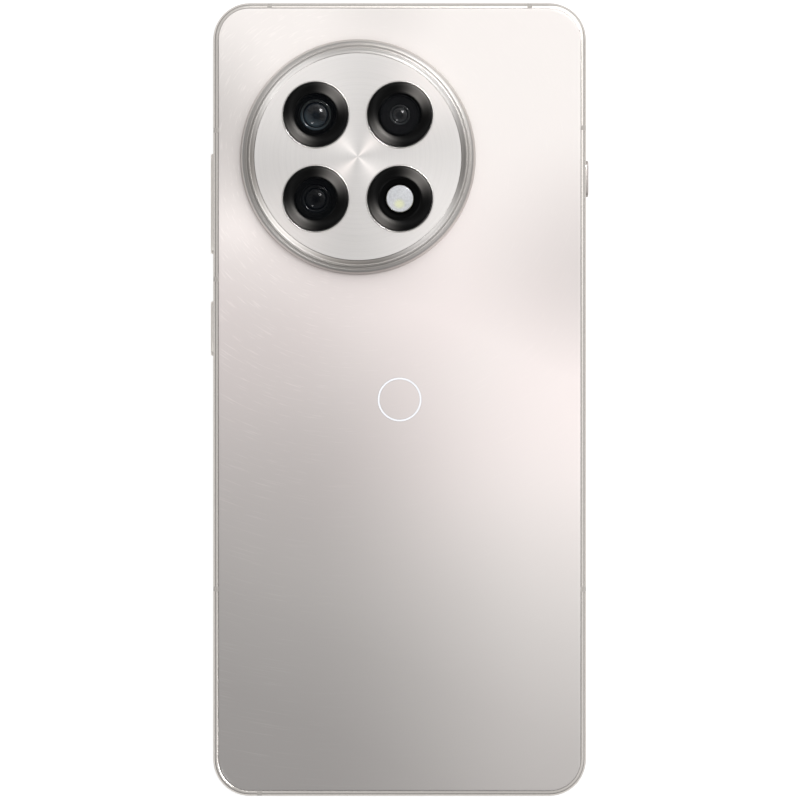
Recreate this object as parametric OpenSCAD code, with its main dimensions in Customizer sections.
// Slab-style mobile phone with a round rear camera island, lying on its screen glass.
// Origin: middle of the screen face. +Y points to the top of the phone, +Z to its back.

/* [Body] */
// Width across the side rails
body_w = 76; // [74:0.5:92]
// Length from the bottom rail to the top rail
body_l = 161.6; // [158:0.1:200]
// Thickness from the screen face to the back cover
body_t = 8; // [7.8:0.1:10]
// Radius of the four outer corners
corner_r = 7.5; // [6.5:0.5:12]
// Thickness of the rail wall
rail_wall = 2.2; // [2:0.1:2.8]
// Rounding between the rail's flat side and its two faces
edge_r = 1; // [0.5:0.1:1]
// Width of the rail lip that shows round the back cover and round the screen
lip_w = 1.1; // [1:0.05:1.4]
// How far the screen glass stands proud of the rail
glass_proud = 0.2; // [0.1:0.05:0.3]
// How far the rail's back edge lies below the back cover
rail_drop = 0.15; // [0.05:0.05:0.3]
// Gap between a panel and the piece round it
panel_gap = 0.1; // [0.05:0.05:0.2]

/* [Layers] */
// Thickness of the screen's cover glass
glass_t = 0.65; // [0.5:0.05:0.8]
// Thickness of the OLED panel
oled_t = 0.6; // [0.5:0.05:0.7]
// Thickness of the adhesive rings
adhesive_t = 0.15; // [0.1:0.05:0.2]
// Air gap between the OLED panel and the mid plate
oled_gap = 0.2; // [0.2:0.05:0.4]
// Thickness of the mid plate
plate_t = 0.5; // [0.5:0.05:0.7]
// Thickness of the back cover glass
cover_t = 0.6; // [0.5:0.05:0.7]
// Thickness of the circuit boards
pcb_t = 0.7; // [0.6:0.05:0.9]
// Width of the adhesive rings
adhesive_w = 0.9; // [0.6:0.05:1]

/* [Camera island] */
// Distance from the left rail's face to the camera ring
ring_from_left = 5.5; // [5:0.1:10]
// Distance from the top rail's face to the camera ring
ring_from_top = 7.4; // [6.6:0.1:12]
// Outer radius of the camera ring
ring_r = 24; // [23.5:0.1:29]
// Width of the ring's metal
ring_w = 2.85; // [2.6:0.05:3.2]
// Height of the ring above the back cover
ring_rise = 2.5; // [2.2:0.1:3]
// Depth of the countersink round each lens bezel
sink_d = 0.3; // [0.2:0.05:0.35]
// Width of that countersink's sloping edge
sink_w = 0.45; // [0.3:0.05:0.6]
// Depth of the camera plate below the ring's crest
plate_drop = 0.35; // [0.2:0.05:0.6]
// Thickness of the camera plate
cam_plate_t = 0.6; // [0.5:0.1:0.8]
// Width of the shelf that carries the camera plate
shelf_w = 0.85; // [0.6:0.05:1.2]
// Distance between the centres of neighbouring lenses
lens_pitch = 17.1; // [16:0.1:18]
// Outer radius of a lens bezel
bezel_r = 6.55; // [6.2:0.05:7]
// Height of a lens bezel above the camera plate
bezel_rise = 0.85; // [0.5:0.05:1.2]
// Radius of a bezel's neck in the camera plate
neck_r = 5.8; // [5.4:0.1:6]
// Radius of a lens cover glass
lens_glass_r = 4.4; // [4.2:0.05:4.6]
// Thickness of a lens cover glass
lens_glass_t = 0.4; // [0.3:0.05:0.5]
// Depth of a lens cover glass below its bezel's face
lens_glass_drop = 0.1; // [0.05:0.05:0.2]
// Radius of the clear bore behind a lens cover glass
lens_bore_r = 4; // [3.9:0.05:4.1]
// Radius of the flash lens
flash_r = 2.7; // [2.4:0.1:3]

/* [Camera modules] */
// Side of the main camera's housing
main_side = 14; // [13:0.5:15]
// Radius of the main camera's lens barrel
main_barrel_r = 3.5; // [3:0.1:3.6]
// Side of the telephoto camera's housing
tele_side = 11; // [10:0.5:12]
// Radius of the telephoto camera's lens barrel
tele_barrel_r = 3.2; // [2.8:0.1:3.5]
// Side of the ultra-wide camera's housing
wide_side = 10; // [9:0.5:11]
// Radius of the ultra-wide camera's lens barrel
wide_barrel_r = 3; // [2.6:0.1:3.4]
// Focus travel of the main and telephoto lenses
focus_travel = 0.35; // [0.2:0.05:0.4]
// Stabiliser travel of the main lens to each side
shift_travel = 0.2; // [0.1:0.05:0.3]
// Wall of a camera housing
can_wall = 0.4; // [0.3:0.1:0.5]
// Clearance round a piece that slides in a camera
slide_gap = 0.15; // [0.1:0.05:0.2]

/* [Keys] */
// Distance from the top rail's face to the middle of the volume rocker
volume_from_top = 40.85; // [38:0.1:48]
// Length of the volume rocker
volume_l = 20.4; // [16:0.1:24]
// Distance from the volume rocker's middle to each of its plungers
volume_plunger = 7; // [5:0.5:7.5]
// Tilt of the volume rocker to each side, in degrees
volume_tilt = 1.5; // [1:0.1:1.6]
// Distance from the top rail's face to the middle of the power button
power_from_top = 66.3; // [64:0.1:74]
// Length of the power button
power_l = 11.1; // [9:0.1:14]
// Travel of the power button
power_travel = 0.3; // [0.2:0.05:0.35]
// Distance from the top rail's face to the middle of the alert slider
slider_from_top = 35.75; // [34:0.1:44]
// Length of the alert slider's cap
slider_l = 7.4; // [6:0.1:9]
// Travel of the alert slider to each side of its middle place
slider_travel = 1.5; // [1:0.1:2]
// Height of the key caps
key_h = 2.4; // [2:0.1:2.8]
// How far a key cap stands out of the rail
key_out = 0.55; // [0.4:0.05:0.7]
// Depth of a key's pocket in the rail
pocket_d = 1.3; // [1.2:0.05:1.4]
// Depth to which a key cap reaches into its pocket
key_in = 0.85; // [0.7:0.05:0.9]
// Clearance round a key cap in its pocket
key_gap = 0.15; // [0.1:0.01:0.2]
// Radius of a key's plunger
plunger_r = 0.6; // [0.5:0.05:0.65]
// Clearance round a plunger in the rail
plunger_gap = 0.15; // [0.1:0.01:0.2]
// Gap between a plunger's collar and its dome switch beyond the travel
dome_gap = 0.05; // [0.02:0.01:0.1]

/* [Battery] */
// Gap between the battery and each side wall
battery_side_gap = 3.7; // [3.6:0.1:6]
// Distance from the top rail's face to the battery
battery_from_top = 62; // [60:0.5:70]
// Distance from the bottom rail's face to the battery
battery_from_bottom = 30; // [29:0.5:40]
// Space over the battery below the back cover
battery_top_gap = 0.65; // [0.6:0.05:0.8]
// Radius of the battery pouch's edges seen from above
battery_r = 2; // [1:0.5:4]

/* [Boards] */
// Height of the main board's underside above the mid plate
board_lift = 1.45; // [1.3:0.05:1.6]
// Gap between the main board and each side wall
board_side_gap = 3.4; // [3.2:0.1:6]
// Height of the sub board's underside above the mid plate
sub_lift = 0.1; // [0.1:0.05:0.2]
// Distance from the bottom rail's face to the sub board's upper edge
sub_l = 27.3; // [26:0.1:28]
// Gap between inner pieces that don't touch
inner_gap = 0.4; // [0.3:0.1:0.6]
// Radius of a screw's shank
screw_r = 0.6; // [0.5:0.05:0.7]
// Radius of a screw's head
screw_head_r = 1.2; // [1:0.1:1.4]
// Height of a screw's head
screw_head_h = 0.4; // [0.3:0.05:0.5]
// Radius of a screw boss
boss_r = 1.7; // [1.4:0.1:2]

/* [SIM tray] */
// Distance from the right rail's face to the middle of the tray's head
tray_from_right = 19; // [19:0.1:24]
// Width of the tray's head
tray_head_w = 17; // [16.5:0.1:18]
// Height of the tray's head
tray_head_h = 2.4; // [2.2:0.1:2.6]
// Thickness of the tray's head
tray_head_t = 1.1; // [1:0.05:1.15]
// Width of the tray's plate
tray_w = 13.6; // [13.4:0.1:14]
// Length of the tray from its outer face to its inner end
tray_l = 18.8; // [17:0.1:20]
// Thickness of the tray's plate
tray_t = 1.5; // [1.5:0.05:1.6]
// Clearance between the tray's plate and the reader
tray_gap = 0.2; // [0.15:0.05:0.3]
// Length, width and depth of a card's bed in the tray
card_bed = [8.9, 12.4, 0.65];
// Radius of the eject hole in the tray's head
eject_hole_r = 0.5; // [0.4:0.05:0.6]
// Distance from the eject hole to the near end of the tray's head
eject_inset = 1.3; // [1.2:0.05:1.6]
// Width and height of the eject rod, a square wire
eject_rod_w = 0.8; // [0.7:0.05:0.9]
// Travel of the eject rod
eject_travel = 1.2; // [0.8:0.1:1.4]
// Distance from the eject rod to the lever's pivot
lever_arm = 4.1; // [3.8:0.1:4.6]

/* [Ports and sound] */
// Width of the USB-C shell
usb_w = 8.94; // [8.9:0.02:9]
// Height of the USB-C shell
usb_h = 3.16; // [3.1:0.02:3.2]
// Length of the USB-C shell
usb_l = 7.2; // [6.5:0.1:8]
// Wall of the USB-C shell
usb_wall = 0.3; // [0.25:0.01:0.35]
// Clearance between the USB-C shell and the rail
usb_gap = 0.15; // [0.1:0.05:0.3]
// Number of loudspeaker holes
sound_holes = 7; // [4:1:8]
// Distance between loudspeaker holes
sound_pitch = 2.3; // [2:0.1:2.5]
// Radius of a loudspeaker hole
sound_hole_r = 0.65; // [0.5:0.05:0.8]
// Distance from the middle of the phone to the loudspeaker
speaker_from_mid = 9.8; // [9.6:0.1:12]
// Length of the loudspeaker
speaker_l = 21; // [18:0.5:24]
// Radius of a microphone hole
mic_hole_r = 0.45; // [0.3:0.05:0.6]
// Length of the earpiece slit
ear_l = 12; // [8:0.5:14]
// Width of the earpiece slit
ear_w = 0.4; // [0.3:0.05:0.5]
// Distance from the top rail's face to the front camera's centre
front_cam_from_top = 6.8; // [6.6:0.1:9]
// Radius of the front camera's barrel
front_cam_r = 1.8; // [1.5:0.1:2]
// Travel of the haptic mass to each side
haptic_travel = 0.4; // [0.2:0.05:0.5]
// Width of an antenna break
break_w = 1; // [0.8:0.1:1.4]
// Distance from the middle of the phone to the breaks in the top and bottom rails
break_from_mid = 26.5; // [26:0.5:28]
// Diameter of the mark on the back cover
mark_d = 9; // [6:0.5:12]
// Line width of the mark
mark_w = 0.45; // [0.3:0.05:1]

/* [Hidden] */
$fn = 48;

// Overlap of a cutting tool past the face that it cuts
over = 0.5;

// Levels, from the screen face up
z_rail = glass_proud;
z_rail_top = body_t - rail_drop;
z_ledge = glass_t + adhesive_t;
z_oled = glass_t + oled_t;
z_plate = z_oled + oled_gap;
z_floor = z_plate + plate_t;
z_cover = body_t - cover_t;
z_seat = z_cover - adhesive_t;
z_mid = body_t / 2;
z_board = z_floor + board_lift;
z_board_top = z_board + pcb_t;
z_sub = z_floor + sub_lift;
z_sub_top = z_sub + pcb_t;
z_bracket = z_seat - 1.25;
bracket_t = 0.6;
z_battery_top = z_cover - battery_top_gap;

// Faces of the rail: outer and inner, half across and half along
out_x = body_w / 2;
out_y = body_l / 2;
in_x = out_x - rail_wall;
in_y = out_y - rail_wall;
in_r = corner_r - rail_wall;

// Camera island
cam_x = ring_from_left + ring_r - out_x;
cam_y = out_y - ring_from_top - ring_r;
ring_in_r = ring_r - ring_w;
z_ring = body_t + ring_rise;
z_cam_plate_top = z_ring - plate_drop;
z_cam_plate = z_cam_plate_top - cam_plate_t;
z_bezel = z_cam_plate_top + bezel_rise;
z_sink = z_cam_plate_top - sink_d;
sink_edge = 0.05;
z_neck = z_cam_plate - 0.15;
z_lens_glass = z_bezel - lens_glass_drop - lens_glass_t;
skirt_r = ring_r - 1;
z_skirt = z_cover - 0.4;
half_pitch = lens_pitch / 2;
main_at = [cam_x - half_pitch, cam_y + half_pitch];
wide_at = [cam_x + half_pitch, cam_y + half_pitch];
tele_at = [cam_x - half_pitch, cam_y - half_pitch];
flash_at = [cam_x + half_pitch, cam_y - half_pitch];
z_can = z_floor + 0.15;
z_can_top = z_skirt - 0.1;
z_barrel_top = z_neck - focus_travel - slide_gap;
z_barrel = z_can + 1.2;
carrier_t = z_can_top - 1.3 - z_barrel;

// Key places along the rails
volume_y = out_y - volume_from_top;
power_y = out_y - power_from_top;
slider_y = out_y - slider_from_top;
dome_x = in_x - 0.75;
fulcrum_r = 0.4;
fulcrum_h = key_h - 0.4;
domes_y = [volume_y - volume_plunger, volume_y + volume_plunger, power_y];
collar_t = 0.2;
volume_reach = volume_plunger * sin(volume_tilt) + dome_gap;
power_reach = power_travel + dome_gap;

// Battery
battery_x = in_x - battery_side_gap;
battery_y0 = battery_from_bottom - out_y;
battery_y1 = out_y - battery_from_top;

// Boards
board_x = in_x - board_side_gap;
board_y0 = battery_y1 + 1.6;
board_y1 = in_y - inner_gap - 0.4;
sub_y0 = -in_y + inner_gap;
sub_y1 = sub_l - out_y;
sub_x0 = -speaker_from_mid + inner_gap;
sub_x1 = in_x - inner_gap - 0.1;
right_x = board_x - 1.4;
right_x0 = wide_at[0] + wide_side / 2 + 3.4;
bracket_screws = [
    [3 - board_x, board_y0 + 2.6], [board_x - 3, board_y0 + 2.6],
    [board_x - 3, board_y1 - 4.2], [right_x0 + 2, board_y1 - 9.2]
];
sub_screws = [[sub_x0 + 2.4, sub_y1 - 2.4], [sub_x1 - 5.2, sub_y1 - 2.4], [sub_x1 - 4.6, sub_y0 + 4.6]];

// SIM tray and its eject mechanism
tray_x = out_x - tray_from_right;
tray_body_x = tray_x + 0.9;
tray_end = tray_l - out_y;
reader_wall = 0.3;
reader_in = tray_w / 2 + tray_gap;
reader_out = reader_in + reader_wall;
eject_x = tray_x - tray_head_w / 2 + eject_inset;
lever_w = 1;
lever_t = 0.8;
lever_end_gap = 0.1;
lever_angle = eject_travel / lever_arm * 180 / PI;
pivot_x = eject_x + lever_arm;
pivot_y = tray_end + 2.1;
pivot_r = 0.4;
pivot_gap = 0.05;
rod_tip = pivot_y - lever_arm * sin(lever_angle) - lever_w / 2 - lever_end_gap;
rod_start = tray_head_t + 0.35 - out_y;

// Haptic motor
haptic_x = 7.2;
haptic_y1 = sub_y1 - 6.1;
haptic_y0 = haptic_y1 - 10;
haptic_wall = 0.3;
haptic_h = 3.4;
mass_x = haptic_x - haptic_wall - 1.7;

// Screen pieces
front_cam_y = out_y - front_cam_from_top;
usb_y0 = 0.4 - out_y;
usb_y1 = usb_y0 + usb_l;
sound_x = -speaker_from_mid - 3.6;
mic_x = tray_x - tray_head_w / 2 - 2.6;
top_mic_x = 19.8;

// A box between two opposite corners
module block(low, high) {
    translate(low) cube(high - low);
}

// A rounded rectangle round a centre, from half sizes
module round_rect(half_x, half_y, r) {
    square([2 * (half_x - r), 2 * half_y], center = true);
    square([2 * half_x, 2 * (half_y - r)], center = true);
    for (x = [r - half_x, half_x - r], y = [r - half_y, half_y - r])
        translate([x, y]) circle(r);
}

// A flat slab with the phone's outline, set in from the rail's outer face
module inset_slab(inset, low, high) {
    translate([0, 0, low]) linear_extrude(high - low)
        round_rect(out_x - inset, out_y - inset, corner_r - inset);
}

// A rounded slab between two opposite corners
module round_slab(low, high, r) {
    centre = (low + high) / 2;
    half = (high - low) / 2;
    translate([centre[0], centre[1], low[2]]) linear_extrude(high[2] - low[2])
        round_rect(half[0], half[1], r);
}

// A ring with the phone's outline
module inset_ring(inset, width, low, high) {
    difference() {
        inset_slab(inset, low, high);
        inset_slab(inset + width, low - over, high + over);
    }
}

// A bar with round ends that lies along X, seen along Y
module stadium(width, height) {
    square([width - height, height], center = true);
    for (x = [height - width, width - height]) translate([x / 2, 0]) circle(height / 2);
}

// A stadium pushed along +Y from a place
module stadium_bar(place, width, height, length) {
    translate(place + [0, length, 0]) rotate([90, 0, 0]) linear_extrude(length)
        stadium(width, height);
}

// A round bar along +Y
module bar_y(place, r, length) {
    translate(place) rotate([-90, 0, 0]) cylinder(r = r, h = length);
}

// A round bar along +X
module bar_x(place, r, length) {
    translate(place) rotate([0, 90, 0]) cylinder(r = r, h = length);
}

// The rail's cross-section: depth from the outer face across, height up
module rail_section(depth) {
    difference() {
        union() {
            translate([0, z_rail + edge_r]) square([depth, z_rail_top - z_rail - 2 * edge_r]);
            translate([edge_r, z_rail]) square([depth - edge_r, z_rail_top - z_rail]);
            translate([edge_r, z_rail + edge_r]) circle(edge_r);
            translate([edge_r, z_rail_top - edge_r]) circle(edge_r);
        }
        translate([lip_w, z_seat]) square([depth, body_t]);
        translate([lip_w, z_ledge - body_t]) square([depth, body_t]);
    }
}

// One straight run of the rail, centred on its side
module rail_run(length, depth) {
    translate([0, length / 2, 0]) rotate([90, 0, 0]) linear_extrude(length) rail_section(depth);
}

// The whole rail: four straight runs and four corners
module rail() {
    for (side = [0, 180]) rotate([0, 0, side]) {
        translate([-out_x, 0, 0]) rail_run(2 * (out_y - corner_r), rail_wall);
        translate([0, -out_y, 0]) rotate([0, 0, 90]) rail_run(2 * (out_x - corner_r), rail_wall);
        for (corner = [[out_x, out_y, 0], [-out_x, out_y, 90]])
            translate([corner[0] - sign(corner[0]) * corner_r, corner[1] - corner_r, 0])
                rotate([0, 0, corner[2]]) rotate_extrude(angle = 90)
                    translate([corner_r, 0]) mirror([1, 0]) rail_section(rail_wall);
    }
}

// Where each antenna break sits: turn of its rail, half size across, place along the rail
breaks = [
    [0, out_x, volume_y + volume_l / 2 + 4.7], [0, out_x, volume_y - volume_l / 2 - 5.2],
    [0, out_x, 42.2 - out_y], [180, out_x, -slider_y - slider_l / 2 - 6.6],
    [180, out_x, out_y - 42.2], [-90, out_y, -break_from_mid], [-90, out_y, break_from_mid],
    [90, out_y, break_from_mid + 2]
];

// Every break, as runs of the rail's section
module each_break() {
    for (at = breaks) rotate([0, 0, at[0]]) translate([-at[1], at[2], 0]) children();
}

// Outline of the battery
module battery_slab(grow, low, high) {
    round_slab([-battery_x - grow, battery_y0 - grow, low], [battery_x + grow, battery_y1 + grow, high],
        battery_r);
}

// A key's pocket in the left rail
module key_pocket(y, length) {
    round_h = key_h / 2 + key_gap;
    translate([-out_x - over, y, z_mid]) rotate([90, 0, 90]) linear_extrude(pocket_d + over)
        stadium(length + 2 * key_gap, 2 * round_h);
}

// A key's cap, its flat face outwards
module key_cap(y, length) {
    translate([-out_x - key_out, y, z_mid]) rotate([90, 0, 90]) linear_extrude(key_out + key_in)
        stadium(length, key_h);
}

// A key's plunger with its collar inside the wall; reach is the space left up to its dome
module key_plunger(y, reach) {
    tip = dome_x + reach;
    bar_x([-out_x + key_in - over, y, z_mid], plunger_r, out_x - key_in + over - tip);
    bar_x([-tip - collar_t, y, z_mid], plunger_r + 0.35, collar_t);
}

module mid_frame() {
    color("#b5b0ab") difference() {
        union() {
            difference() {
                rail();
                each_break() block([-over, -break_w / 2, 0], [rail_wall + 0.01, break_w / 2, body_t]);
            }
            inset_slab(rail_wall - 0.2, z_plate, z_floor);
            for (at = bracket_screws)
                translate([at[0], at[1], z_plate]) cylinder(r = boss_r, h = z_board - z_plate);
            for (at = sub_screws)
                translate([at[0], at[1], z_plate]) cylinder(r = boss_r, h = z_sub - z_plate);
        }
        // Key pockets, plunger bores and the beds of their seals
        key_pocket(volume_y, volume_l);
        key_pocket(power_y, power_l);
        for (y = domes_y) {
            bar_x([-out_x + pocket_d - over, y, z_mid], plunger_r + plunger_gap, rail_wall);
            bar_x([-out_x + pocket_d - over, y, z_mid], plunger_r + 0.55, over + 0.4);
        }
        // Pocket and slot of the alert slider
        mirror([1, 0, 0]) key_pocket(slider_y, slider_l + 2 * slider_travel);
        block([in_x - over, slider_y - slider_travel - 1.1, z_mid - 0.8],
            [out_x, slider_y + slider_travel + 1.1, z_mid + 0.8]);
        // Tray opening: recess for the head, slot for the plate, bore for the eject rod
        stadium_bar([tray_x, -out_y - over, z_mid], tray_head_w + 2 * key_gap, tray_head_h + 2 * key_gap,
            tray_head_t + panel_gap + over);
        block([tray_body_x - tray_w / 2 - tray_gap, -out_y, z_mid - tray_t / 2 - tray_gap],
            [tray_body_x + tray_w / 2 + tray_gap, over - in_y, z_mid + tray_t / 2 + tray_gap]);
        bar_y([eject_x, -out_y, z_mid], eject_rod_w / 2 + 2 * tray_gap, rail_wall + over);
        // Bottom rail: USB-C, loudspeaker and microphone openings
        stadium_bar([0, -out_y - over, z_mid], usb_w + 2 * usb_gap, usb_h + 2 * usb_gap, rail_wall + 2 * over);
        for (i = [0:sound_holes - 1])
            bar_y([sound_x - i * sound_pitch, -out_y - over, z_mid], sound_hole_r, rail_wall + 2 * over);
        bar_y([mic_x, -out_y - over, z_mid], mic_hole_r, rail_wall + 2 * over);
        // Top rail: a microphone opening
        bar_y([top_mic_x, in_y - over, z_mid], mic_hole_r, rail_wall + 2 * over);
        // Mid plate: front camera, light sensor, fingerprint sensor, screen flex, earpiece duct
        translate([0, front_cam_y, 0]) cylinder(r = front_cam_r + 0.5, h = z_floor + over);
        block([-5, sub_y0 + 11.2, 0], [5, sub_y0 + 19.2, z_floor + over]);
        block([-7.4, battery_y0 - 2.3, 0], [7.4, battery_y0 - 0.7, z_floor + over]);
        block([-ear_l / 2, in_y - 1.2, 0], [ear_l / 2 + 5, in_y, z_floor + over]);
        block([-ear_l / 2, in_y - over, 0], [ear_l / 2, out_y - lip_w + ear_w, z_ledge + 0.3]);
        // Bed of the vapour chamber
        vapour_outline(panel_gap, z_floor - 0.25, z_floor + over);
        // Screw bores, closed at the bottom
        for (at = concat(bracket_screws, sub_screws))
            translate([at[0], at[1], z_plate + 0.1]) cylinder(r = screw_r + 0.05, h = body_t);
    }
}

module antenna_breaks() {
    color("#a9a5a0") each_break() rail_run(break_w, rail_wall - 0.2);
}

module back_cover() {
    color("#dcd6d2") difference() {
        inset_slab(lip_w + panel_gap, z_cover, body_t);
        translate([cam_x, cam_y, z_cover - over]) cylinder(r = skirt_r + panel_gap, h = cover_t + 2 * over);
        mark_ring(0, body_t - 0.12, body_t + over);
    }
}

// The mark's outline: a plain ring in the middle of the back
module mark_ring(grow, low, high) {
    translate([0, 0, low]) difference() {
        cylinder(r = mark_d / 2 + grow, h = high - low);
        translate([0, 0, -over]) cylinder(r = mark_d / 2 - mark_w - grow, h = high - low + 2 * over);
    }
}

module back_mark() {
    color("#f2efec") mark_ring(0, body_t - 0.12, body_t);
}

module back_cover_adhesive() {
    color("#262626") inset_ring(lip_w + panel_gap, adhesive_w, z_seat, z_cover);
}

// The ring's cross-section: skirt in the cover, shelf for the plate, chamfer, crest, groove, flank
module ring_section() {
    crest_in = ring_in_r + 1.1;
    groove_in = ring_in_r + 1.5;
    groove_out = ring_in_r + 1.75;
    flank = ring_r - groove_out;
    flank_h = ring_rise - 0.9;
    polygon(concat(
        [[ring_in_r - shelf_w, z_skirt], [skirt_r, z_skirt], [skirt_r, body_t], [ring_r, body_t]],
        [for (a = [0:15:90]) [groove_out + flank * cos(a), z_ring - flank_h - 0.05 + flank_h * sin(a)]],
        [[groove_out, z_ring - 0.3], [groove_in, z_ring - 0.3], [groove_in, z_ring], [crest_in, z_ring]],
        [[ring_in_r, z_cam_plate_top], [ring_in_r, z_cam_plate], [ring_in_r - shelf_w, z_cam_plate]]
    ));
}

module camera_ring() {
    color("#bdb8b4") translate([cam_x, cam_y, 0]) rotate_extrude($fn = 96) ring_section();
}

module camera_plate() {
    color("#cfcac7") difference() {
        translate([cam_x, cam_y, z_cam_plate]) cylinder(r = ring_in_r - panel_gap, h = cam_plate_t, $fn = 96);
        for (at = [main_at, wide_at, tele_at, flash_at]) translate([at[0], at[1], 0]) {
            translate([0, 0, z_cam_plate - over]) cylinder(r = neck_r + panel_gap, h = cam_plate_t + 2 * over);
            translate([0, 0, z_sink]) cylinder(r = bezel_r + sink_edge, h = body_t);
            translate([0, 0, z_sink]) cylinder(r1 = bezel_r + sink_edge, r2 = bezel_r + sink_w, h = sink_d + over);
        }
    }
}

// A lens bezel: flange on the camera plate, neck through it, seat for a disc of the given radius
module bezel(at, seat_r, seat_d, bore_r) {
    color("#161616") translate([at[0], at[1], 0]) difference() {
        union() {
            translate([0, 0, z_neck]) cylinder(r = neck_r, h = z_bezel - z_neck);
            translate([0, 0, z_sink]) cylinder(r = bezel_r, h = z_bezel - z_sink - 0.25);
            translate([0, 0, z_bezel - 0.25]) cylinder(r1 = bezel_r, r2 = bezel_r - 0.25, h = 0.25);
        }
        translate([0, 0, z_neck - over]) cylinder(r = bore_r, h = body_t);
        translate([0, 0, z_bezel - seat_d]) cylinder(r = seat_r, h = seat_d + over);
    }
}

module main_bezel() {
    bezel(main_at, lens_glass_r + panel_gap / 2, lens_glass_t + lens_glass_drop, lens_bore_r);
}

module wide_bezel() {
    bezel(wide_at, lens_glass_r + panel_gap / 2, lens_glass_t + lens_glass_drop, lens_bore_r);
}

module tele_bezel() {
    bezel(tele_at, lens_glass_r + panel_gap / 2, lens_glass_t + lens_glass_drop, lens_bore_r);
}

module flash_bezel() {
    bezel(flash_at, lens_glass_r, 0.15, flash_r + panel_gap);
}

module lens_glasses() {
    color("#22262e") for (at = [main_at, wide_at, tele_at])
        translate([at[0], at[1], z_lens_glass]) cylinder(r = lens_glass_r, h = lens_glass_t);
}

module flash_lens() {
    color("#f3f1e6") translate([flash_at[0], flash_at[1], z_bezel - 0.95]) cylinder(r = flash_r, h = 0.85);
}

module flash_leds() {
    board_z = z_neck - 0.25;
    color("#e8e2a8") translate([flash_at[0], flash_at[1], board_z]) {
        cylinder(r = flash_r + 1.6, h = 0.25);
        for (y = [-1, 1]) translate([0, y, 0.5]) cube([1.3, 1.3, 0.5], center = true);
    }
}

// A camera's square can with a stepped cavity for its carrier and a bore for its barrel
module camera_can(at, side, cavity_side, bore_r) {
    translate([at[0], at[1], 0]) difference() {
        translate([-side / 2, -side / 2, z_can]) cube([side, side, z_can_top - z_can]);
        translate([-cavity_side / 2, -cavity_side / 2, z_can + can_wall])
            cube([cavity_side, cavity_side, z_can_top - z_can - 2 * can_wall]);
        translate([0, 0, z_can_top - can_wall - over]) cylinder(r = bore_r, h = body_t);
    }
}

carrier_side = main_side - 2 * can_wall - 2 * slide_gap;
guide_side = carrier_side - 1.2 - 2 * (shift_travel + slide_gap);
tele_carrier_side = tele_side - 2 * can_wall - 2 * slide_gap;

module main_camera_housing() {
    color("#8c8f94") camera_can(main_at, main_side, main_side - 2 * can_wall,
        main_barrel_r + shift_travel + slide_gap);
}

// The focus carrier is a square cup that slides along the lens axis
module main_focus_carrier() {
    color("#3a3d42") translate([main_at[0], main_at[1], z_barrel]) difference() {
        translate([-carrier_side / 2, -carrier_side / 2, 0]) cube([carrier_side, carrier_side, carrier_t]);
        translate([0.6 - carrier_side / 2, 0.6 - carrier_side / 2, 0.4])
            cube([carrier_side - 1.2, carrier_side - 1.2, carrier_t]);
        translate([0, 0, -over]) cylinder(r = main_barrel_r, h = body_t);
    }
}

// The shift guide is a square frame that slides sideways in the focus carrier
module main_shift_guide() {
    window = main_barrel_r + 0.9;
    color("#6f7378") translate([main_at[0], main_at[1], z_barrel + 0.45]) difference() {
        translate([-guide_side / 2, -guide_side / 2, 0]) cube([guide_side, guide_side, 0.8]);
        translate([-window - slide_gap, -window - shift_travel - slide_gap, -over])
            cube([2 * (window + slide_gap), 2 * (window + shift_travel + slide_gap), body_t]);
    }
}

// The lens barrel slides lengthways in the shift guide
module main_lens_barrel() {
    flange = main_barrel_r + 0.9;
    color("#101114") translate([main_at[0], main_at[1], 0]) difference() {
        union() {
            translate([-flange, -flange, z_barrel + 0.45]) cube([2 * flange, 2 * flange, 0.8]);
            translate([0, 0, z_barrel + 0.45])
                cylinder(r = main_barrel_r, h = z_barrel_top - z_barrel - 0.45);
        }
        lens_recess(main_barrel_r, z_barrel_top);
    }
}

// The stepped dish in the front of a lens barrel
module lens_recess(r, z) {
    translate([0, 0, z - 0.3]) cylinder(r1 = r - 0.9, r2 = r - 0.3, h = 0.35);
    translate([0, 0, z - 0.7]) cylinder(r = r - 1.3, h = 1);
}

module tele_camera_housing() {
    color("#8c8f94") camera_can(tele_at, tele_side, tele_side - 2 * can_wall, tele_barrel_r + slide_gap);
}

module tele_lens_barrel() {
    color("#101114") translate([tele_at[0], tele_at[1], 0]) difference() {
        union() {
            translate([-tele_carrier_side / 2, -tele_carrier_side / 2, z_barrel])
                cube([tele_carrier_side, tele_carrier_side, carrier_t]);
            translate([0, 0, z_barrel]) cylinder(r = tele_barrel_r, h = z_barrel_top - z_barrel);
        }
        lens_recess(tele_barrel_r, z_barrel_top);
    }
}

module wide_camera_module() {
    color("#15171a") translate([wide_at[0], wide_at[1], 0]) difference() {
        union() {
            translate([-wide_side / 2, -wide_side / 2, z_can]) cube([wide_side, wide_side, z_can_top - z_can]);
            translate([0, 0, z_can_top - over]) cylinder(r = wide_barrel_r, h = z_neck - z_can_top + over);
        }
        lens_recess(wide_barrel_r, z_neck);
    }
}

module volume_rocker() {
    color("#c3beb9") {
        key_cap(volume_y, volume_l);
        // Round fulcrum across the cap's back, on the axis it rocks about
        translate([-out_x + key_in, volume_y, z_mid - fulcrum_h / 2]) cylinder(r = fulcrum_r, h = fulcrum_h);
        for (side = [-1, 1]) key_plunger(volume_y + side * volume_plunger, volume_reach);
    }
}

module power_button() {
    color("#c3beb9") {
        key_cap(power_y, power_l);
        key_plunger(power_y, power_reach);
    }
}

module alert_slider() {
    color("#c3beb9") mirror([1, 0, 0]) {
        key_cap(slider_y, slider_l);
        block([key_in - over - out_x, slider_y - 0.8, z_mid - 0.6],
            [0.8 - in_x, slider_y + 0.8, z_mid + 0.6]);
    }
}

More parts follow.
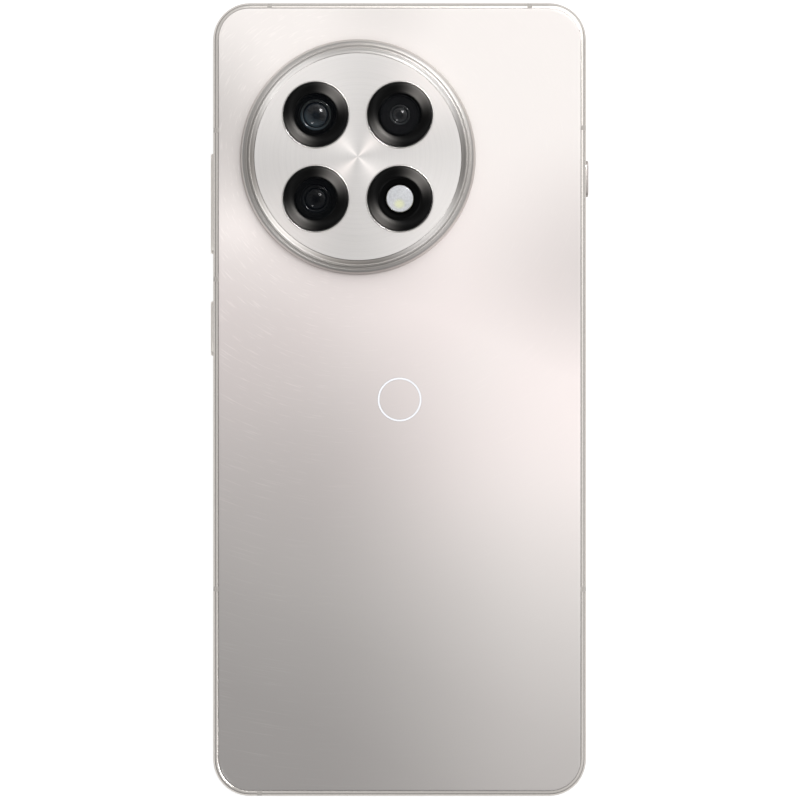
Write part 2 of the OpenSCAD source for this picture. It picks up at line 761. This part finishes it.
module key_seals() {
    color("#1c1c1c") for (y = domes_y) difference() {
        bar_x([-out_x + pocket_d + 0.02, y, z_mid], plunger_r + 0.5, 0.36);
        bar_x([-out_x + pocket_d - over, y, z_mid], plunger_r + plunger_gap, 2 * over + 0.4);
    }
}

module key_flex() {
    color("#b5762a") {
        block([-dome_x + 0.25, power_y - 3, z_mid - 1.6],
            [-dome_x + 0.45, volume_y + volume_plunger + 3, z_mid + 1.6]);
        for (y = domes_y) bar_x([-dome_x, y, z_mid], 1.3, 0.26);
    }
}

module key_bracket() {
    color("#8f9499") block([-dome_x + 0.45, power_y - 4, z_floor],
        [-dome_x + 0.85, volume_y + volume_plunger + 4, z_mid + 2]);
}

module slider_switch() {
    color("#2b2d30") block([board_x + 0.3, slider_y - 5, z_mid - 1.6], [in_x - 1, slider_y + 5, z_mid + 1.6]);
}

module screen_glass() {
    color("#0b0c0e") inset_slab(lip_w + panel_gap, 0, glass_t);
}

module screen_adhesive() {
    color("#1b1b1b") difference() {
        inset_ring(lip_w + panel_gap, adhesive_w, glass_t, z_ledge);
        block([-ear_l / 2 - 0.3, in_y - 1, 0], [ear_l / 2 + 0.3, out_y, body_t]);
    }
}

module oled_panel() {
    color("#050608") difference() {
        inset_slab(rail_wall + 0.3, glass_t, z_oled);
        translate([0, front_cam_y, 0]) cylinder(r = front_cam_r + panel_gap, h = body_t);
    }
}

module screen_flex() {
    step_y = battery_y0 - 1.5;
    color("#b5762a") {
        block([-5, sub_y0 + 20, z_oled], [5, step_y, z_oled + 0.12]);
        block([-5, step_y - 0.12, z_oled], [5, step_y, z_sub_top + 0.32]);
        block([-5, sub_y1 - 4.4, z_sub_top + 0.2], [5, step_y, z_sub_top + 0.32]);
        block([-4.4, sub_y1 - 4.4, z_sub_top], [4.4, sub_y1 - 1.6, z_sub_top + 0.7]);
    }
}

module front_camera() {
    color("#101215") translate([0, front_cam_y, 0]) {
        translate([0, 0, glass_t + 0.05]) cylinder(r = front_cam_r, h = z_floor);
        translate([-3.2, -3.2, z_floor + 0.1]) cube([6.4, 6.4, 2.6]);
    }
}

module receiver() {
    color("#55585c") block([5.2, in_y - 7.6, z_floor + 0.1], [17.4, in_y - 0.3, z_floor + 1.3]);
}

module earpiece_mesh() {
    color("#2e2e2e") block([0.1 - ear_l / 2, out_y - lip_w - panel_gap + 0.01, z_ledge - 0.1],
        [ear_l / 2 - 0.1, out_y - lip_w + ear_w - 0.05, z_ledge + 0.2]);
}

// Outline of the vapour chamber, which runs under the board and the battery
module vapour_outline(grow, low, high) {
    round_slab([-22 - grow, battery_y0 + 12 - grow, low], [22 + grow, wide_at[1] + 6 + grow, high], 4 + grow);
}

module vapour_chamber() {
    color("#b87a52") vapour_outline(0, z_floor - 0.25, z_floor + 0.05);
}

module fingerprint_sensor() {
    color("#24282c") block([-4.8, sub_y0 + 11.4, z_oled], [4.8, sub_y0 + 19, z_floor - 0.05]);
}

module battery() {
    color("#2a2c2f") battery_slab(0, z_floor + 0.15, z_battery_top);
}

module battery_flex() {
    tab_y = board_y0 + 5;
    color("#b5762a") {
        block([18, battery_y1, z_board_top + 0.5], [26, tab_y, z_board_top + 0.62]);
        block([18.6, tab_y - 3, z_board_top], [25.4, tab_y - 0.2, z_board_top + 0.5]);
    }
}

// Square opening in a board round a camera's can
module can_cut(at, side) {
    half = side / 2 + inner_gap;
    block([at[0] - half, at[1] - half, 0], [at[0] + half, at[1] + half, body_t]);
}

module main_board() {
    color("#1d5a3a") difference() {
        block([-board_x, board_y0, z_board], [board_x, board_y1, z_board_top]);
        can_cut(main_at, main_side);
        can_cut(wide_at, wide_side);
        can_cut(tele_at, tele_side);
        block([-board_x - over, main_at[1] + main_side / 2 - 1, 0], [-3.8, in_y, body_t]);
        block([-4.6, front_cam_y - 4, 0], [4.6, in_y, body_t]);
        block([4, in_y - 8.1, 0], [18, in_y, body_t]);
        translate([board_x, board_y1, 0]) rotate([0, 0, 45]) cube([7, 7, 3 * body_t], center = true);
        for (at = bracket_screws) translate([at[0], at[1], 0]) cylinder(r = screw_r + 0.15, h = body_t);
    }
}

// Places of the chips under the main board: centre and half sizes
chips = [[21, 52, 7, 7], [21, 36, 6, 5], [21, 65, 4, 3.2], [1, 30, 4, 3]];

module board_chips() {
    color("#17181a") for (chip = chips) {
        x = chip[0] - 38 + out_x;
        y = chip[1] - 80.8 + out_y;
        block([x - chip[2], y - chip[3], z_board - 0.9], [x + chip[2], y + chip[3], z_board]);
    }
}

// An open-bottomed can of thin sheet
module shield(low, high) {
    wall = [0.2, 0.2, 0];
    difference() {
        block(low, high);
        block(low + wall - [0, 0, over], high - wall - [0, 0, 0.2]);
    }
}

module shield_cans() {
    split = board_y0 + 25.4;
    color("#b9bcc0") {
        shield([right_x0, board_y0 + 6.4, z_board_top], [right_x, split, z_board_top + 1.4]);
        shield([right_x0, split + 0.8, z_board_top], [right_x, board_y1 - 11.4, z_board_top + 1.4]);
    }
}

module board_bracket() {
    color("#3b3e42") difference() {
        union() {
            block([-board_x, board_y0, z_bracket], [board_x, board_y0 + 5.2, z_bracket + bracket_t]);
            block([right_x0 - 0.8, board_y0, z_bracket], [board_x, board_y1 - 2, z_bracket + bracket_t]);
            for (at = bracket_screws)
                translate([at[0], at[1], z_board_top]) cylinder(r = boss_r, h = z_bracket - z_board_top + 0.1);
        }
        for (at = bracket_screws) translate([at[0], at[1], 0]) cylinder(r = screw_r + 0.15, h = body_t);
        translate([board_x, board_y1 - 2, 0]) rotate([0, 0, 45]) cube([4, 4, 3 * body_t], center = true);
    }
}

module nfc_coil() {
    low = [right_x0 + 1, board_y0 + 8, z_bracket + bracket_t];
    high = [board_x - 2, board_y1 - 14, z_bracket + bracket_t + 0.2];
    turn = [2, 2, 0];
    color("#b5762a") difference() {
        round_slab(low, high, 3);
        round_slab(low + turn - [0, 0, over], high - turn + [0, 0, over], 1.5);
    }
}

module sub_board() {
    color("#1d5a3a") difference() {
        round_slab([sub_x0, sub_y0, z_sub], [sub_x1, sub_y1, z_sub_top], in_r - 0.6);
        block([-usb_w / 2 - 0.3, -out_y, 0], [usb_w / 2 + 0.3, usb_y1 + 0.3, body_t]);
        for (at = sub_screws) translate([at[0], at[1], 0]) cylinder(r = screw_r + 0.15, h = body_t);
    }
}

module usb_shell() {
    color("#b9bcc0") difference() {
        stadium_bar([0, usb_y0, z_mid], usb_w, usb_h, usb_l);
        stadium_bar([0, usb_y0 - over, z_mid], usb_w - 2 * usb_wall, usb_h - 2 * usb_wall, usb_l + 2 * over);
    }
}

module usb_tongue() {
    skin = usb_wall + 0.04;
    color("#1b1c1e") {
        block([-3.35, usb_y0 + 0.6, z_mid - 0.35], [3.35, usb_y1 - 1, z_mid + 0.35]);
        stadium_bar([0, usb_y1 - 1.4, z_mid], usb_w - 2 * skin, usb_h - 2 * skin, 1.4);
    }
}

// The ribbon between the two boards: over the battery, then down to a plug at each end
module main_flex() {
    x0 = 6;
    x1 = 15;
    flex_t = 0.12;
    z_run = z_battery_top + 0.1;
    low_y = battery_y0 - 0.9;
    high_y = battery_y1 + 0.9;
    color("#b5762a") {
        block([x0, low_y, z_run], [x1, high_y, z_run + flex_t]);
        block([x0, low_y - flex_t, z_sub_top + 0.6], [x1, low_y, z_run + flex_t]);
        block([x0, high_y, z_board_top + 0.5], [x1, high_y + flex_t, z_run + flex_t]);
        block([x0, high_y, z_board_top + 0.5], [x1, board_y0 + 4.6, z_board_top + 0.5 + flex_t]);
        block([x0 + 0.5, board_y0 + 1.6, z_board_top], [x1 - 0.5, board_y0 + 4.4, z_board_top + 0.5]);
        block([x0 + 1, sub_y1 - 3, z_sub_top + 0.6], [x1, low_y, z_sub_top + 0.6 + flex_t]);
        block([x0 + 1, sub_y1 - 3, z_sub_top], [x1 - 0.5, sub_y1 - 0.4, z_sub_top + 0.6]);
    }
}

module antenna_cables() {
    cable_r = 0.4;
    cable_z = z_board_top + 0.9;
    color("#d8d8d8") for (i = [0, 1]) {
        x = battery_x + 0.9 + 1.3 * i;
        bar_y([x, sub_y1 - 1.6 - 2.6 * i, cable_z], cable_r, board_y0 - sub_y1 + 1.6 + 2.6 * i);
        translate([x, sub_y1 - 1.6 - 2.6 * i, z_sub_top]) cylinder(r = 0.6, h = cable_z - z_sub_top + cable_r);
    }
}

module loudspeaker() {
    x1 = -speaker_from_mid;
    y0 = -in_y + inner_gap;
    color("#1f2022") difference() {
        round_slab([-in_x + inner_gap, y0, z_floor + 0.1], [x1, y0 + speaker_l, z_seat - 0.4], in_r - 0.6);
        for (i = [0:sound_holes - 1])
            bar_y([sound_x - i * sound_pitch, y0 - over, z_mid], sound_hole_r, 2.5);
    }
}

module speaker_mesh() {
    color("#3a3a3a") block([sound_x - sound_holes * sound_pitch + 1.2, -in_y + 0.02, z_mid - 1],
        [sound_x + 1.2, -in_y + inner_gap - 0.02, z_mid + 1]);
}

module haptic_housing() {
    skin = [haptic_wall, haptic_wall, haptic_wall];
    low = [-haptic_x, haptic_y0, z_sub_top + 0.02];
    high = [haptic_x, haptic_y1, z_sub_top + haptic_h];
    color("#a9adb2") difference() {
        block(low, high);
        block(low + skin, high - skin);
    }
}

module haptic_mass() {
    color("#6b6f75") block([-mass_x, haptic_y0 + haptic_wall + 0.2, z_sub_top + haptic_wall + 0.2],
        [mass_x, haptic_y1 - haptic_wall - 0.2, z_sub_top + haptic_h - haptic_wall - 0.2]);
}

module haptic_springs() {
    inner = haptic_x - haptic_wall;
    leaf = 0.15;
    near = mass_x + haptic_travel + 0.1;
    low = haptic_y0 + haptic_wall + 0.5;
    high = haptic_y1 - haptic_wall - 0.5;
    z0 = z_sub_top + haptic_wall + 0.3;
    z1 = z_sub_top + haptic_h - haptic_wall - 0.3;
    color("#c9ccd0") for (side = [0, 180])
        translate([0, (haptic_y0 + haptic_y1) / 2, 0]) rotate([0, 0, side])
            translate([0, -(haptic_y0 + haptic_y1) / 2, 0]) {
                block([near, low, z0], [near + leaf, high, z1]);
                block([inner - leaf, low, z0], [inner, high, z1]);
                block([near, high - leaf, z0], [inner, high, z1]);
            }
}

module sim_tray() {
    bed_x = card_bed[1] / 2;
    bed_y0 = -out_y + tray_head_t + 1.9;
    z0 = z_mid - tray_t / 2;
    color("#b5b0ab") difference() {
        union() {
            stadium_bar([tray_x, -out_y, z_mid], tray_head_w, tray_head_h, tray_head_t);
            block([tray_body_x - tray_w / 2, tray_head_t - out_y - 0.1, z0],
                [tray_body_x + tray_w / 2, tray_end, z0 + tray_t]);
        }
        for (z = [z0 - over, z0 + tray_t - card_bed[2]])
            block([tray_body_x - bed_x, bed_y0, z],
                [tray_body_x + bed_x, bed_y0 + card_bed[0], z + card_bed[2] + over]);
        bar_y([eject_x, -out_y - over, z_mid], eject_hole_r, tray_head_t + 2 * over);
    }
}

module sim_reader() {
    y0 = over - in_y;
    y1 = tray_end + 0.3;
    floor_z = z_mid - tray_t / 2 - tray_gap;
    roof_z = z_mid + tray_t / 2 + tray_gap;
    color("#b9bcc0") {
        difference() {
            block([tray_body_x - reader_out, y0, z_sub_top], [tray_body_x + reader_out, y1, roof_z + 0.2]);
            block([tray_body_x - reader_in, y0 - over, floor_z], [tray_body_x + reader_in, y1 + over, roof_z]);
        }
        block([pivot_x - 1.6, y1, z_sub_top], [pivot_x + 6, pivot_y + 1.6, z_mid - lever_t / 2 - 0.1]);
        translate([pivot_x, pivot_y, z_sub_top])
            cylinder(r = pivot_r, h = z_mid + lever_t / 2 + 0.3 - z_sub_top);
    }
}

module eject_rod() {
    half = eject_rod_w / 2;
    color("#c9ccd0") block([eject_x - half, rod_start, z_mid - half], [eject_x + half, rod_tip, z_mid + half]);
}

module eject_lever() {
    place = [pivot_x, pivot_y, z_mid - lever_t / 2];
    color("#c9ccd0") translate(place) rotate([0, 0, lever_angle]) difference() {
        linear_extrude(lever_t) {
            square([2 * lever_arm, lever_w], center = true);
            for (x = [-lever_arm, lever_arm]) translate([x, 0]) circle(lever_w / 2);
            circle(1);
        }
        translate([0, 0, -over]) cylinder(r = pivot_r + pivot_gap, h = lever_t + 2 * over);
    }
}

module microphones() {
    color("#c8b26a") {
        block([mic_x - 1.4, -in_y + inner_gap + 0.1, z_sub_top], [mic_x + 1.1, 3 - in_y, z_mid + 0.9]);
        block([top_mic_x - 1.2, in_y - 3.2, z_board_top], [top_mic_x + 1.8, in_y - 1, z_board_top + 0.9]);
    }
}

// One screw: head on top of the given level, shank down to the given tip
module screw(at, head_z, tip_z) {
    translate([at[0], at[1], head_z]) difference() {
        cylinder(r = screw_head_r, h = screw_head_h);
        translate([0, 0, screw_head_h - 0.15]) cylinder(r = 0.5, h = 1);
    }
    translate([at[0], at[1], tip_z]) cylinder(r = screw_r, h = head_z - tip_z + 0.1);
}

module screws() {
    color("#55585c") {
        for (at = bracket_screws) screw(at, z_bracket + bracket_t, z_plate + 0.2);
        for (at = sub_screws) screw(at, z_sub_top, z_plate + 0.2);
    }
}

mid_frame();
antenna_breaks();
back_cover();
back_cover_adhesive();
back_mark();
camera_ring();
camera_plate();
main_bezel();
wide_bezel();
tele_bezel();
flash_bezel();
lens_glasses();
flash_lens();
flash_leds();
main_camera_housing();
main_focus_carrier();
main_shift_guide();
main_lens_barrel();
tele_camera_housing();
tele_lens_barrel();
wide_camera_module();
volume_rocker();
power_button();
alert_slider();
key_seals();
key_flex();
key_bracket();
slider_switch();
screen_glass();
screen_adhesive();
oled_panel();
screen_flex();
front_camera();
receiver();
earpiece_mesh();
vapour_chamber();
fingerprint_sensor();
battery();
battery_flex();
main_board();
board_chips();
shield_cans();
board_bracket();
nfc_coil();
sub_board();
usb_shell();
usb_tongue();
main_flex();
antenna_cables();
loudspeaker();
speaker_mesh();
haptic_housing();
haptic_mass();
haptic_springs();
sim_tray();
sim_reader();
eject_rod();
eject_lever();
microphones();
screws();
